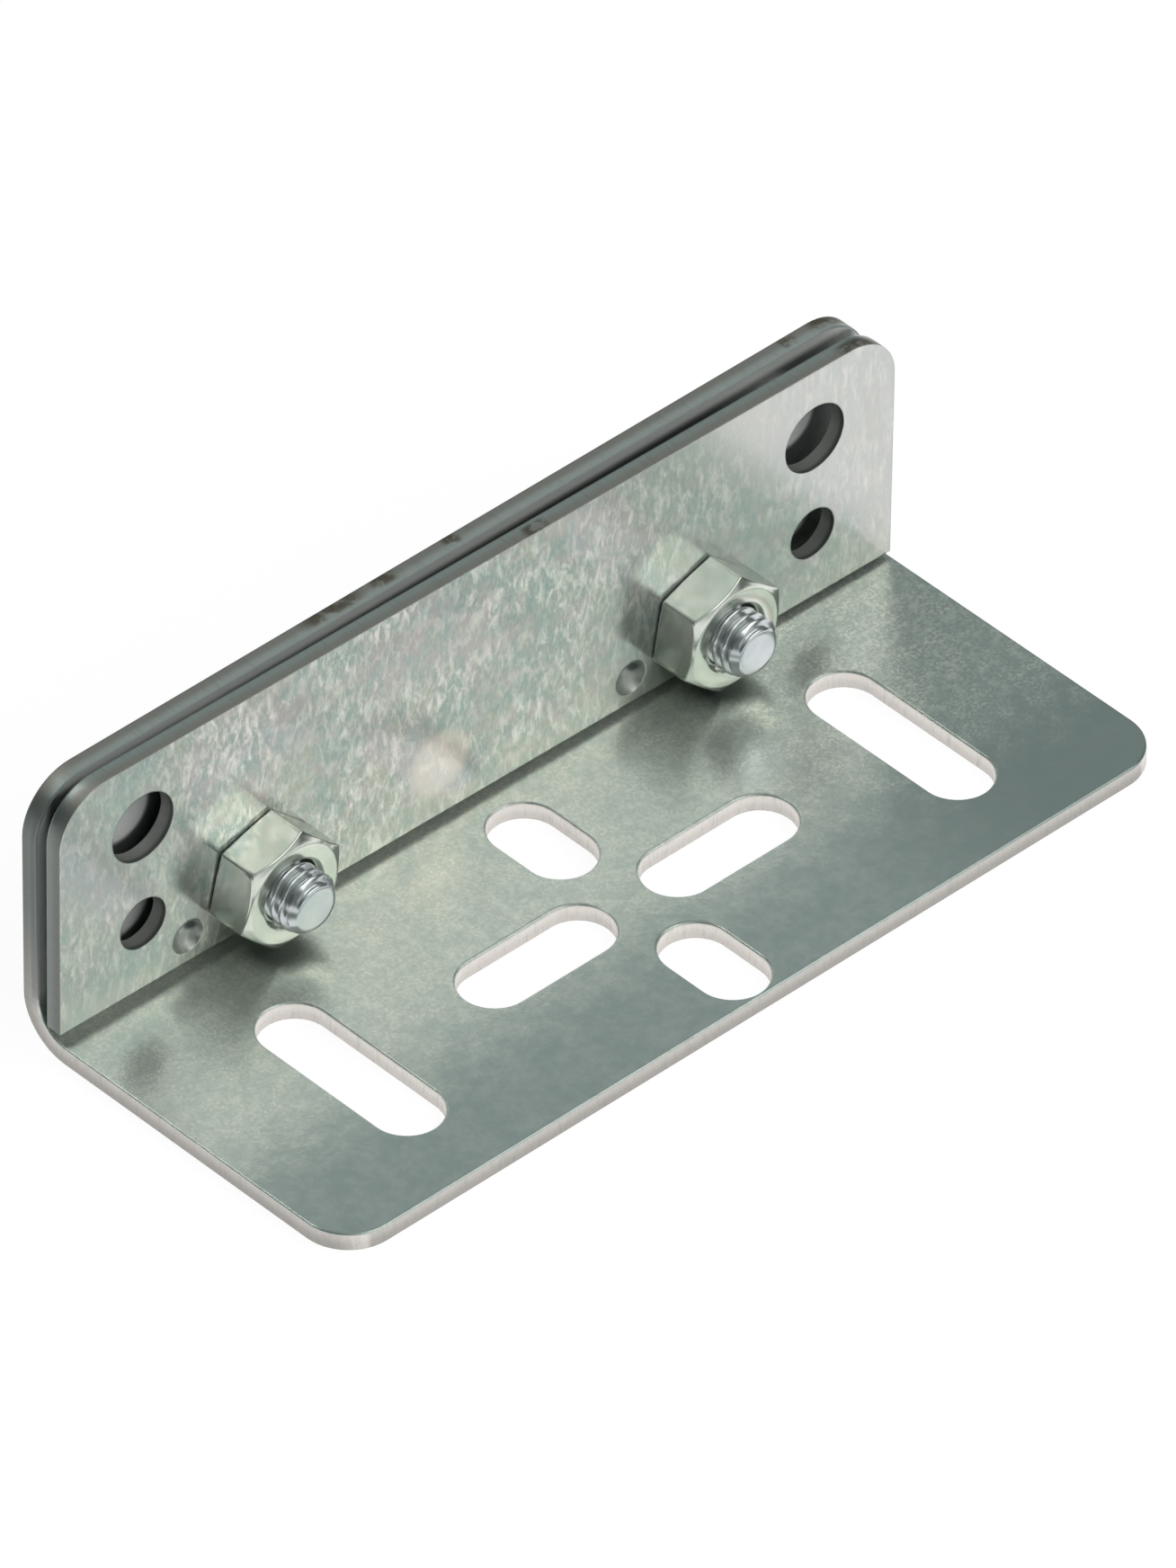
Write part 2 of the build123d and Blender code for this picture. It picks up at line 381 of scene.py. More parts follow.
def plate_strokes(tree, place, colour, loud, light_end):
    broad = stretched_noise(tree, place, (1.75, 0.75, 1.0), 3.0, 0.60, 0.6, lean=-9)
    fine = stretched_noise(tree, place, (5.0, 1.9, 1.0), 3.0, 0.68, 0.3, lean=-4)
    strokes = result(tree, "ADD", step_between(tree, broad, 0.42, 0.72),
                     step_between(tree, fine, 0.40, 0.76, 0.0, 0.5))
    zones = step_between(tree, stretched_noise(tree, place, (0.14, 0.20, 0.2), 2.0), 0.30, 0.62, 0.40, 1.0)
    zones = times(tree, zones, loud)
    colour = blend(tree, result(tree, "MULTIPLY", strokes, zones, clamp=True), colour, light_stroke)
    streaks = stretched_noise(tree, place, (2.6, 0.32, 1.0), 4.0, 0.62, 0.4, lean=-3)
    dark_streaks = times(tree, light_end, step_between(tree, streaks, 0.60, 0.38, 0.0, 1.3))
    return strokes, blend(tree, dark_streaks, colour, dark_streak)


# %% [markdown]
# ### Painted tones on the plate
# Some tones are painted in, not found in the metal: the plate's ends and its painted highlight above, and
# here a cream patch in the middle that is a painted reflection of a slot in the foot, a painted shade beside
# the left nut that stands in for the nut's shadow and its dark reflection, and a straw band along the plate's
# lower edge. Under another light these places stay as they are.
#
# The two pressed dishes are a little darker and rougher than the skin, with a painted shade on their right. A
# face's finish hands back a colour, a roughness, a relief in millimetres and how metallic the skin is.

# %% The plate's face
cream, nut_shade, straw_foot = (1.0, 0.92, 0.81), (0.22, 0.27, 0.26), (0.78, 0.80, 0.66)
dish_floor, painted_shade_in_dish = (0.42, 0.47, 0.46), (0.10, 0.12, 0.12)


def painted_on_the_plate(tree, place, parts, colour):
    # The cream patch is a painted reflection of a slot in the foot.
    colour = blend(tree, times(tree, spot(tree, place, 29.2, 3.9, 2.2, 0.5), 0.50), colour, cream)
    # The shade beside the left nut is painted: the nut's shadow and its dark reflection.
    colour = blend(tree, times(tree, spot(tree, place, 11.0, 6.6, 1.6, 1.1), 0.45), colour, nut_shade)
    colour = blend(tree, step_between(tree, parts["Y"], 3.5, 0.5, 0.0, 0.22), colour, straw_foot)
    for x, y in dish_places:
        in_dish = times(tree, spot(tree, place, x, y, 1.14, 0.05), 0.25)
        colour = blend(tree, in_dish, colour, dish_floor)
        # A painted shade darkens the right side of each dish.
        colour = blend(tree, spot(tree, place, x + 0.60, y + 0.22, 0.33, 0.16), colour, painted_shade_in_dish)
    return colour


def stroked_face(tree, place, parts):
    patches, colour = plate_patches(tree, place)
    colour, loud, light_end = plate_ends(tree, parts, colour)
    strokes, colour = plate_strokes(tree, place, colour, loud, light_end)
    colour = painted_on_the_plate(tree, place, parts, colour)
    rough = result(tree, "MULTIPLY_ADD", strokes, 0.04, 0.185)
    for x, y in dish_places:
        rough = result(tree, "MULTIPLY_ADD", spot(tree, place, x, y, 1.10, 0.10), 0.26, rough)
    grain = stretched_noise(tree, place, (16.0, 12.0, 8.0), 2.0, 0.6)
    relief = result(tree, "MULTIPLY_ADD", strokes, 0.0010, times(tree, patches, 0.014))
    relief = result(tree, "MULTIPLY_ADD", grain, 0.0012, relief)
    return colour, rough, relief, 0.70


# %% [markdown]
# ### The bracket's skin
# The bracket came from smoother sheet. Its skin is mottled with wispy flecks a tenth of a millimetre wide,
# stronger towards the bend and fading to a plain satin near the foot's front edge. One noise gives soft
# clouds, one gives blots of under a millimetre, and one gives the wisps.

# %% Clouds, blots and flecks
cloud_dark, cloud_light = (0.61, 0.69, 0.66), (0.69, 0.75, 0.71)
dark_foot_end, dark_blot, light_blot = (0.39, 0.46, 0.44), (0.40, 0.46, 0.45), (0.86, 0.92, 0.84)
straw_fleck = (0.97, 0.99, 0.89)


def mottled_skin(tree, parts, clouds, blots, wisps, towards_bend):
    colour = blend(tree, step_between(tree, clouds, 0.38, 0.62), cloud_dark, cloud_light)
    colour = blend(tree, step_between(tree, parts["X"], 8.0, 25.0, 0.0, 0.85), colour, dark_foot_end)
    colour = blend(tree, step_between(tree, blots, 0.64, 0.36, 0.0, 0.22), colour, dark_blot)
    light_blots = times(tree, step_between(tree, blots, 0.46, 0.70, 0.32, 0.85), towards_bend)
    colour = blend(tree, light_blots, colour, light_blot)
    flecks = times(tree, step_between(tree, wisps, 0.44, 0.64), towards_bend)
    flecks = times(tree, flecks, step_between(tree, clouds, 0.38, 0.64, 0.35, 1.0))
    return blend(tree, flecks, colour, straw_fleck)


# %% [markdown]
# ### Painted tones on the bracket
# Here too some tones are painted in: the foot is darker towards its right end, each nut has a painted shade
# below it on the foot, standing in for the nut's shadow and its dark reflection, and the flange's inner face
# behind the plate is painted dark as shade. Painted light keeps the flange pale and matt in a disc behind
# each of the plate's end holes and in a strip along its top and ends. Under another light these places stay
# as they are.

# %% The bracket's face
painted_shade_below_nut, painted_shade_on_flange, painted_light_on_flange = (0.15, 0.17, 0.165), (0.16, 0.17, 0.17), (0.97, 0.98, 0.97)
flange_top = 31.9
under_the_nuts = [(-17.6, 10.4), (17.0, 10.1)]
seen_through_holes = [(-26.15, 27.2, 2.2), (-26.15, 20.1, 2.2), (26.15, 26.9, 2.2), (26.15, 19.8, 2.1)]


def painted_on_the_bracket(tree, place, parts, colour):
    # Below each nut lies a painted shade: the nut's shadow and its dark reflection in the foot.
    for along, across in under_the_nuts:
        below_nut = times(tree, spot(tree, place, along, across, 1.8, 1.0), 0.85)
        colour = blend(tree, below_nut, colour, painted_shade_below_nut)
    inner_side = step_between(tree, parts["Z"], 0.8, 0.4)
    upright = times(tree, step_between(tree, parts["Y"], 15.5, 17.5), inner_side)
    # Painted shade darkens the flange's inner face behind the plate.
    colour = blend(tree, times(tree, upright, 0.9), colour, painted_shade_on_flange)
    # Painted light: the flange is pale and matt in a disc behind each end hole and along its top and ends.
    pale = 0.0
    for along, across, radius in seen_through_holes:
        pale = result(tree, "MAXIMUM", pale, spot(tree, place, along, across, radius, 0.25))
    top_strip = step_between(tree, parts["Y"], flange_top - 1.1, flange_top - 0.4, 0.0, 0.8)
    end_strip = step_between(tree, result(tree, "ABSOLUTE", parts["X"]),
                             half_length - 1.3, half_length - 0.5, 0.0, 0.8)
    pale = result(tree, "MAXIMUM", result(tree, "MAXIMUM", pale, top_strip), times(tree, end_strip, upright))
    pale = times(tree, pale, inner_side)
    return blend(tree, pale, colour, painted_light_on_flange), pale


def flecked_face(tree, place, parts):
    clouds = stretched_noise(tree, place, (0.50, 0.55, 0.5), 4.0, 0.62)
    wisps = stretched_noise(tree, place, (4.8, 4.3, 4.0), 3.0, 0.64, 0.5)
    blots = stretched_noise(tree, place, (1.5, 1.3, 1.4), 4.0, 0.66, 0.3)
    towards_bend = step_between(tree, result(tree, "MULTIPLY_ADD", clouds, 9.0, parts["Y"]), -3.0, 7.5)
    colour = mottled_skin(tree, parts, clouds, blots, wisps, towards_bend)
    colour, pale = painted_on_the_bracket(tree, place, parts, colour)
    rough = result(tree, "MULTIPLY_ADD", towards_bend, 0.06, 0.20)
    relief = times(tree, wisps, result(tree, "MULTIPLY_ADD", towards_bend, 0.010, 0.0008))
    relief = result(tree, "MULTIPLY_ADD", clouds, 0.020, relief)
    relief = result(tree, "MULTIPLY_ADD", blots, 0.006, relief)
    return colour, rough, relief, blend(tree, pale, 0.66, 0.05)


# %% [markdown]
# ### Cut walls
# A punched wall is burnished next to the side that the punch came from and torn towards the other. Plated,
# the burnished part is a pale band and the torn part is duller, with a ragged border between them. The
# walls of the foot are pale, and those of the flange and the plate are dull. Both sheets' ends and the
# foot's front edge are browner than the walls of holes and slots. Where the ends stand upright they are
# darker still: a painted reflection of the shaded floor beside them. A wall's finish hands back a colour, a
# roughness and a relief.

# %% Burnished and torn walls
burnished, torn_zinc = (0.92, 0.88, 0.83), (0.80, 0.75, 0.71)
dull_burnished, dull_torn = (0.54, 0.60, 0.58), (0.49, 0.48, 0.44)
outline_brown, painted_shade_on_upright_ends = (0.40, 0.38, 0.355), (0.17, 0.20, 0.19)
scuff_grey, rolled_grey = (0.32, 0.32, 0.30), (0.20, 0.25, 0.25)
length_of_dulling = 12.0
front_edge = -11.25


def wall_tones(tree, place, parts, depth, middle, dull_from, scuffs):
    ragged = result(tree, "MULTIPLY_ADD", stretched_noise(tree, place, (1.2, 1.2, 0.2), 3.0, 0.6), 0.30, 0.35)
    torn = step_between(tree, result(tree, "SUBTRACT", depth, ragged), -0.25, 0.25)
    pale = blend(tree, torn, burnished, torn_zinc)
    dull = blend(tree, torn, dull_burnished, dull_torn)
    dulled = step_between(tree, parts["Y"], dull_from, dull_from + length_of_dulling)
    colour = blend(tree, dulled, pale, dull, colours=True)
    off_middle = result(tree, "ABSOLUTE", result(tree, "SUBTRACT", parts["X"], middle))
    ends = step_between(tree, off_middle, half_length - 1.6, half_length - 0.5)
    front = step_between(tree, parts["Y"], front_edge + 0.27, front_edge + 0.15)
    outline = result(tree, "MAXIMUM", ends, front)
    outline = times(tree, outline, step_between(tree, depth, 0.0, 0.90, 0.40, 0.75))
    colour = blend(tree, outline, colour, outline_brown)
    # Upright ends get a painted shade, standing in for the shaded floor that they reflect.
    colour = blend(tree, times(tree, times(tree, ends, dulled), 0.75), colour, painted_shade_on_upright_ends)
    colour = blend(tree, step_between(tree, scuffs, 0.48, 0.72, 0.0, 0.3), colour, scuff_grey)
    rolled_rim = times(tree, step_between(tree, depth, 0.15, 0.07), dulled)
    colour = blend(tree, times(tree, rolled_rim, 0.5), colour, rolled_grey)
    return torn, dulled, colour


# %% [markdown]
# ### Stains and hole rims
# The top edges of flange and plate carry a few brown stains, each given by its place along the sheet and
# its half width, and frayed by a noise. The walls of the plate's end holes are grey, and their front rims
# are nearly black.

# %% Stained walls and dark holes
stain_brown, hole_grey, hole_rim_black = (0.13, 0.095, 0.06), (0.42, 0.43, 0.41), (0.12, 0.13, 0.12)


def stained_walls(tree, place, parts, depth, stains, colour):
    stained = 0.0
    for along, half_width in stains:
        away = result(tree, "ABSOLUTE", result(tree, "SUBTRACT", parts["X"], along))
        stain = step_between(tree, away, half_width * 1.4, half_width * 0.6)
        stained = result(tree, "MAXIMUM", stained, stain)
    frayed = stretched_noise(tree, place, (1.1, 1.1, 1.1), 4.0, 0.6)
    stained = times(tree, stained, step_between(tree, frayed, 0.34, 0.54, 0.0, 0.75))
    stained = times(tree, stained, step_between(tree, parts["Y"], 12.0, 16.0))
    stained = times(tree, stained, step_between(tree, depth, 0.15, 0.45))
    return blend(tree, stained, colour, stain_brown)


def cut_wall(tree, place, parts, depth, middle, dull_from, stains, dark_holes):
    scuffs = stretched_noise(tree, place, (5.0, 5.0, 0.8), 4.0, 0.65)
    torn, dulled, colour = wall_tones(tree, place, parts, depth, middle, dull_from, scuffs)
    colour = stained_walls(tree, place, parts, depth, stains, colour)
    for along, across, radius in dark_holes:
        in_hole = spot(tree, place, along, across, radius + 0.4, 0.1)
        colour = blend(tree, in_hole, colour, hole_grey)
        front_rim = times(tree, in_hole, step_between(tree, depth, 0.62, 0.92, 0.0, 0.85))
        colour = blend(tree, front_rim, colour, hole_rim_black)
    rough = result(tree, "MULTIPLY_ADD", torn, 0.14, result(tree, "MULTIPLY_ADD", dulled, 0.14, 0.24))
    return colour, rough, times(tree, scuffs, 0.008)


# %% [markdown]
# ### One material for face and wall
# A sheet is plated all over in one bath, so each has one material: the attribute `cut` blends from the
# face's finish to the wall's. A Bevel node rounds the normals at the edges by a sixth of a millimetre,
# which costs no polygons, and the relief goes in on top of it as bump.

# %% Join face and wall
def zinc_sheet(name, face_finish, middle, dull_from, stains, dark_holes):
    material = bpy.data.materials.new(name)
    material.use_nodes = True
    tree = material.node_tree
    place = add_node(tree, "ShaderNodeAttribute", attribute_name="unfolded").outputs["Vector"]
    cut = add_node(tree, "ShaderNodeAttribute", attribute_name="cut").outputs["Fac"]
    parts = add_node(tree, "ShaderNodeSeparateXYZ", {"Vector": place}).outputs
    depth = result(tree, "DIVIDE", parts["Z"], sheet)
    *face, metallic = face_finish(tree, place, parts)
    wall = cut_wall(tree, place, parts, depth, middle, dull_from, stains, dark_holes)
    colour, rough, relief = (blend(tree, cut, face[n], wall[n], colours=n == 0) for n in range(3))
    rounded = add_node(tree, "ShaderNodeBevel", {"Radius": 0.16 * mm}, samples=6)
    bump = add_node(tree, "ShaderNodeBump", {
        "Height": relief, "Strength": 1.0, "Distance": mm, "Normal": rounded.outputs[0]})
    fill_inputs(tree, tree.nodes["Principled BSDF"], {
        "Base Color": colour, "Roughness": rough, "Normal": bump.outputs[0], "Metallic": metallic})
    return material


# %% Coat both sheets
bracket_stains = [(26.9, 0.5), (30.0, 1.2), (-9.0, 2.0), (-5.0, 0.8), (0.3, 0.5)]
plate_stains = [(62.2, 1.3), (36.9, 0.8)]
hole_inset = 6.35
plate_holes = [(x, y, radius) for x in (hole_inset, 2 * half_length - hole_inset)
               for y, radius in ((11.95, 2.325), (4.8, 1.725))]
bracket_zinc = zinc_sheet("zinc_on_the_folded_bracket", flecked_face, middle=0.0, dull_from=13.0,
                          stains=bracket_stains, dark_holes=[])
plate_zinc = zinc_sheet("zinc_on_the_clamping_plate", stroked_face, middle=half_length, dull_from=-14.0,
                        stains=plate_stains, dark_holes=plate_holes)
folded_bracket.data.materials.append(bracket_zinc)
clamping_plate.data.materials.append(plate_zinc)
for piece, node_name, slot_name in ((folded_bracket, "angle_bracket", "bracket_sheet"),
                                    (clamping_plate, "clamp_plate", "plate_sheet")):
    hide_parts(node_name)
    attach(piece, "root")
print("sheet materials:", bracket_zinc.name, plate_zinc.name)

# %% [markdown]
# ## Screws and nuts by rule
# A thread is a shape that follows a rule: its radius depends only on how far along the screw and how far
# round it a point is. A nut is a ring of flats with turned corners, and a screw head is the same without
# the hole. Geometry Nodes suit both: a flat grid is rolled up, and each point's radius is worked out from
# its row and column. Changing the pitch or the width across flats is then one number.

# %% Start and run a tree
def new_geometry_tree(name, inputs):
    tree = bpy.data.node_groups.new(name, "GeometryNodeTree")
    tree.is_modifier = True
    for label, kind, value in inputs:
        socket = tree.interface.new_socket(name=label, in_out="INPUT", socket_type=kind)
        if value is not None:
            socket.default_value = value
    tree.interface.new_socket(name="Geometry", in_out="OUTPUT", socket_type="NodeSocketGeometry")
    return tree, tree.nodes.new("NodeGroupInput").outputs, tree.nodes.new("NodeGroupOutput")


def mesh_as_shown(piece):
    graph = bpy.context.evaluated_depsgraph_get()
    return bpy.data.meshes.new_from_object(
        piece.evaluated_get(graph), preserve_all_data_layers=True, depsgraph=graph)


def run_tree(piece_name, tree, values, start_mesh=None):
    start = start_mesh or bpy.data.meshes.new(piece_name + "_start")
    carrier = bpy.data.objects.new(piece_name, start)
    bpy.context.collection.objects.link(carrier)
    modifier = carrier.modifiers.new("rule", "NODES")
    modifier.node_group = tree
    for item in tree.interface.items_tree:
        if item.in_out == "INPUT" and item.name in values:
            modifier[item.identifier] = values[item.name]
    mesh = mesh_as_shown(carrier)
    carrier.modifiers.remove(modifier)
    carrier.data = mesh
    mesh.name = piece_name
    return carrier


# %% Lay a grid and roll it up
def flat_grid(tree, columns, rows):
    grid = add_node(tree, "GeometryNodeMeshGrid", {
        "Vertices X": result(tree, "ADD", columns, 1), "Vertices Y": rows})
    index = tree.nodes.new("GeometryNodeInputIndex").outputs[0]
    row = result(tree, "MODULO", index, rows)
    column = result(tree, "FLOOR", result(tree, "DIVIDE", index, rows))
    return grid.outputs[0], row, result(tree, "DIVIDE", column, columns)


def roll_up(tree, grid, radius, angle, along, finish, out):
    place = add_node(tree, "ShaderNodeCombineXYZ", {
        "X": times(tree, radius, result(tree, "COSINE", angle)), "Y": along,
        "Z": times(tree, radius, result(tree, "SINE", angle))}).outputs[0]
    moved = add_node(tree, "GeometryNodeSetPosition", {"Geometry": grid, "Position": place}).outputs[0]
    merged = add_node(tree, "GeometryNodeMergeByDistance", {"Geometry": moved, "Distance": 2 * same_place})
    real = add_node(tree, "GeometryNodeRealizeInstances", {"Geometry": merged.outputs[0]})
    coated = add_node(tree, "GeometryNodeSetMaterial", {"Geometry": real.outputs[0], "Material": finish})
    tree.links.new(coated.outputs[0], out.inputs[0])


# %% [markdown]
# ### The rolled thread
# Rows run along the screw from the middle of its end face, over the turned tip, and up to the head. The
# thread's height is a flat-topped wave of (distance / pitch + turn), which winds it round as one right-hand
# helix. At the tip the wave is cut by a cone, so the thread runs out into the chamfer as a real one does.

# %% The thread tree
end_rows = 5
tip_blend = 0.06


def thread_wave(tree, along, turn, given):
    phase = result(tree, "FRACT", result(tree, "ADD", result(tree, "DIVIDE", along, given["Pitch"]), turn))
    slant = result(tree, "ABSOLUTE", result(tree, "MULTIPLY_ADD", phase, 2.0, -1.0))
    flank = result(tree, "DIVIDE", result(tree, "SUBTRACT", slant, given["Crest Flat"]),
                   result(tree, "MULTIPLY_ADD", given["Crest Flat"], -2.0, 1.0), clamp=True)
    soft = times(tree, times(tree, flank, flank), result(tree, "MULTIPLY_ADD", flank, -2.0, 3.0))
    return result(tree, "ADD", times(tree, flank, 0.6), times(tree, soft, 0.4))


def thread_tree():
    tree, given, out = new_geometry_tree("rolled_thread", [
        ("Crest Radius", "NodeSocketFloat", 0.001975), ("Root Radius", "NodeSocketFloat", 0.001555),
        ("Pitch", "NodeSocketFloat", 0.0007), ("Length", "NodeSocketFloat", 0.00845),
        ("Tip Chamfer", "NodeSocketFloat", 0.00052), ("Columns", "NodeSocketInt", 60),
        ("Rows per Turn", "NodeSocketInt", 14), ("Crest Flat", "NodeSocketFloat", 0.14),
        ("Finish", "NodeSocketMaterial", None)])
    step = result(tree, "DIVIDE", given["Pitch"], given["Rows per Turn"])
    steps = result(tree, "CEIL", result(tree, "DIVIDE", given["Length"], step))
    grid, row, turn = flat_grid(tree, given["Columns"], result(tree, "ADD", steps, end_rows + 1))
    past_end_face = result(tree, "MAXIMUM", result(tree, "SUBTRACT", row, end_rows), 0.0)
    along = result(tree, "MINIMUM", times(tree, past_end_face, step), given["Length"])
    depth = result(tree, "SUBTRACT", given["Crest Radius"], given["Root Radius"])
    wave = thread_wave(tree, along, turn, given)
    thread = result(tree, "MULTIPLY_ADD", wave, depth, given["Root Radius"])
    end_radius = result(tree, "SUBTRACT", given["Crest Radius"], given["Tip Chamfer"])
    tip = result(tree, "ADD", end_radius, along)
    on_end_face = result(tree, "DIVIDE", row, end_rows, clamp=True)
    radius = times(tree, result(tree, "SMOOTH_MIN", thread, tip, tip_blend * mm), on_end_face)
    roll_up(tree, grid, radius, times(tree, turn, 2 * math.pi), along, given["Finish"], out)
    return tree


rolled_thread = thread_tree()
print("rolled_thread has", len(rolled_thread.nodes), "nodes")

# %% [markdown]
# ### Hexagons with turned corners
# A nut and a screw head are lathe work on a six-sided bar. The profile is a short list of points; each has
# a radius, a height, and a share that says how far it lies between the turned face's circle and the six
# flats. On the way out, the height drops with a 30 degree cone, which draws the curved chamfer line on
# every flat.

# %% The hexagon tree
def hexagon_tree():
    tree, given, out = new_geometry_tree("turned_hexagon", [
        ("Profile", "NodeSocketGeometry", None), ("Across Flats", "NodeSocketFloat", 0.007),
        ("Turn", "NodeSocketFloat", 0.0), ("Columns", "NodeSocketInt", 96),
        ("Finish", "NodeSocketMaterial", None)])
    size = add_node(tree, "GeometryNodeAttributeDomainSize", {"Geometry": given["Profile"]})
    grid, row, share_of_turn = flat_grid(tree, given["Columns"], size.outputs["Point Count"])

    def of_profile(label):
        named = add_node(tree, "GeometryNodeInputNamedAttribute", {"Name": label}, data_type="FLOAT")
        sample = add_node(tree, "GeometryNodeSampleIndex", {
            "Geometry": given["Profile"], "Value": named.outputs[0], "Index": row}, data_type="FLOAT")
        return sample.outputs[0]

    radius, height, share, slope = (of_profile(label) for label in ("radius", "height", "share", "slope"))
    angle = times(tree, share_of_turn, 2 * math.pi)
    in_flat = result(tree, "SUBTRACT", result(tree, "MODULO", angle, math.pi / 3), math.pi / 6)
    flat = result(tree, "DIVIDE", times(tree, given["Across Flats"], 0.5), result(tree, "COSINE", in_flat))
    outward = times(tree, result(tree, "SUBTRACT", flat, radius), share)
    reach = result(tree, "ADD", radius, outward)
    along = result(tree, "MULTIPLY_ADD", outward, slope, height)
    turned = result(tree, "ADD", angle, given["Turn"])
    roll_up(tree, grid, reach, turned, along, given["Finish"], out)
    return tree


turned_hexagon = hexagon_tree()
print("turned_hexagon has", len(turned_hexagon.nodes), "nodes")

# %% [markdown]
# ### Profiles of nut and head
# The nut is chamfered on its free face only and stands almost sharp on the plate, as the photograph shows.
# The screws' heads are hidden behind the flange, so they are plain hexagon heads on a round bearing face.

# %% Draw the lathe profiles
cone = math.tan(math.radians(30))
across_flats = 7.0
face_circle = 0.94 * across_flats / 2
nut_height, bore, mouth, seat_round = 3.1, 2.0, 0.36, 0.12
nut_points = [
    (bore, mouth, 0, 0), (bore + mouth, 0, 0, 0), (face_circle, 0, 0, 0),
    (face_circle, 0, 0.35, cone), (face_circle, 0, 0.7, cone), (face_circle, 0, 1, cone),
    (face_circle, nut_height - seat_round, 1, 0), (face_circle, nut_height, 0.8, 0),
    (face_circle, nut_height, 0.4, 0), (face_circle, nut_height, 0, 0),
    (bore + mouth, nut_height, 0, 0), (bore, nut_height - mouth, 0, 0), (bore, mouth, 0, 0)]
head_height, bearing_circle, bearing_ring, top_ring = 2.8, 3.4, 2.4, 1.6
head_points = [
    (0, 0, 0, 0), (bearing_ring, 0, 0, 0), (bearing_circle, 0, 0, 0), (bearing_circle, 0, 1, 0),
    (face_circle, head_height, 1, -cone), (face_circle, head_height, 0.7, -cone),
    (face_circle, head_height, 0.35, -cone), (face_circle, head_height, 0, 0),
    (top_ring, head_height, 0, 0), (0, head_height, 0, 0)]


def lathe_profile(name, points):
    mesh = bpy.data.meshes.new(name)
    mesh.from_pydata([(0, 0, n * mm) for n in range(len(points))], [], [])
    columns = list(zip(*points))
    for label, values, unit in zip(("radius", "height", "share", "slope"), columns, (mm, mm, 1, 1)):
        write_attribute(mesh, label, "FLOAT", "POINT", [value * unit for value in values])
    return mesh


print("nut profile:", len(nut_points), "points; head profile:", len(head_points), "points")

# %% [markdown]
# ### Finishes of the screws and nuts
# The nuts are tumbled zinc with a faint straw tint from their sealing. The screws' zinc is cooler in tone,
# a little more blurred and less dented. Both read Object coordinates in metres, so the noises are scaled
# up: the clouds come out two millimetres wide and the grain four tenths. A low relief stands for the dents
# of tumbling.

# %% Zinc for nuts and screws
def small_part_zinc(name, colour, second_colour, metallic, low_rough, high_rough, dent):
    material = bpy.data.materials.new(name)
    material.use_nodes = True
    tree = material.node_tree
    place = add_node(tree, "ShaderNodeTexCoord").outputs["Object"]
    clouds = stretched_noise(tree, place, (420, 420, 420), 3.0, 0.6)
    grain = stretched_noise(tree, place, (2400, 2400, 2400), 3.0, 0.6)
    tone = blend(tree, step_between(tree, clouds, 0.36, 0.64), colour, second_colour)
    rough = result(tree, "MULTIPLY_ADD", grain, high_rough - low_rough, low_rough)
    relief = result(tree, "MULTIPLY_ADD", clouds, dent, times(tree, grain, dent * 0.05))
    bump = add_node(tree, "ShaderNodeBump", {"Height": relief, "Strength": 1.0, "Distance": mm})
    fill_inputs(tree, tree.nodes["Principled BSDF"], {
        "Base Color": tone, "Roughness": rough, "Normal": bump.outputs[0], "Metallic": metallic})
    return material


nut_zinc = small_part_zinc("zinc_on_the_nuts", (0.68, 0.73, 0.65), (0.80, 0.83, 0.76),
                           metallic=0.88, low_rough=0.11, high_rough=0.24, dent=0.005)
screw_zinc = small_part_zinc("bright_zinc_on_the_screws", (0.66, 0.71, 0.73), (0.76, 0.79, 0.80),
                             metallic=0.84, low_rough=0.14, high_rough=0.30, dent=0.003)
print("small part materials:", nut_zinc.name, screw_zinc.name)

# %% [markdown]
# ### One screw and one nut
# A turned edge is never quite sharp, and its thin bright line is what makes small metal parts look real. So
# nuts and heads get a true bevel of under a tenth of a millimetre, which shows in every view. The screw is
# one piece: its shank runs half a millimetre into the head.

# %% Edges, heads and shanks
crest_radius, tip_chamfer, shank_in_head = 1.975, 0.52, 0.5
head_edge, nut_edge = 0.07, 0.08
bevel_from, thread_sharp_from = math.radians(24), math.radians(35)


def outward_and_closed(mesh):
    work = bmesh.new()
    work.from_mesh(mesh)
    bmesh.ops.remove_doubles(work, verts=work.verts, dist=2 * same_place)
    bmesh.ops.dissolve_degenerate(work, edges=work.edges, dist=same_place)
    bmesh.ops.recalc_face_normals(work, faces=work.faces)
    open_edges = sum(1 for edge in work.edges if not edge.is_manifold)
    if work.calc_volume(signed=True) < 0:
        bmesh.ops.reverse_faces(work, faces=work.faces)
    volume = work.calc_volume(signed=True)
    work.to_mesh(mesh)
    work.free()
    print(mesh.name, "has", len(mesh.polygons), "faces,", open_edges, "open edges,",
          round(volume / mm ** 3, 1), "cubic mm")


def soften_edges(piece, width):
    bevel = piece.modifiers.new("softened edges", "BEVEL")
    bevel.width, bevel.segments, bevel.angle_limit = width * mm, 2, bevel_from
    bevel.limit_method = "ANGLE"
    piece.data.shade_smooth()
    weighted = piece.modifiers.new("weighted normals", "WEIGHTED_NORMAL")
    weighted.mode = "FACE_AREA"
    mesh = mesh_as_shown(piece)
    piece.modifiers.clear()
    piece.data = mesh


def join_head(screw, head):
    work = bmesh.new()
    work.from_mesh(screw.data)
    rim = [edge for edge in work.edges if edge.is_boundary]
    bmesh.ops.holes_fill(work, edges=rim, sides=0)
    work.from_mesh(head.data)
    work.to_mesh(screw.data)
    work.free()
    bpy.data.objects.remove(head)


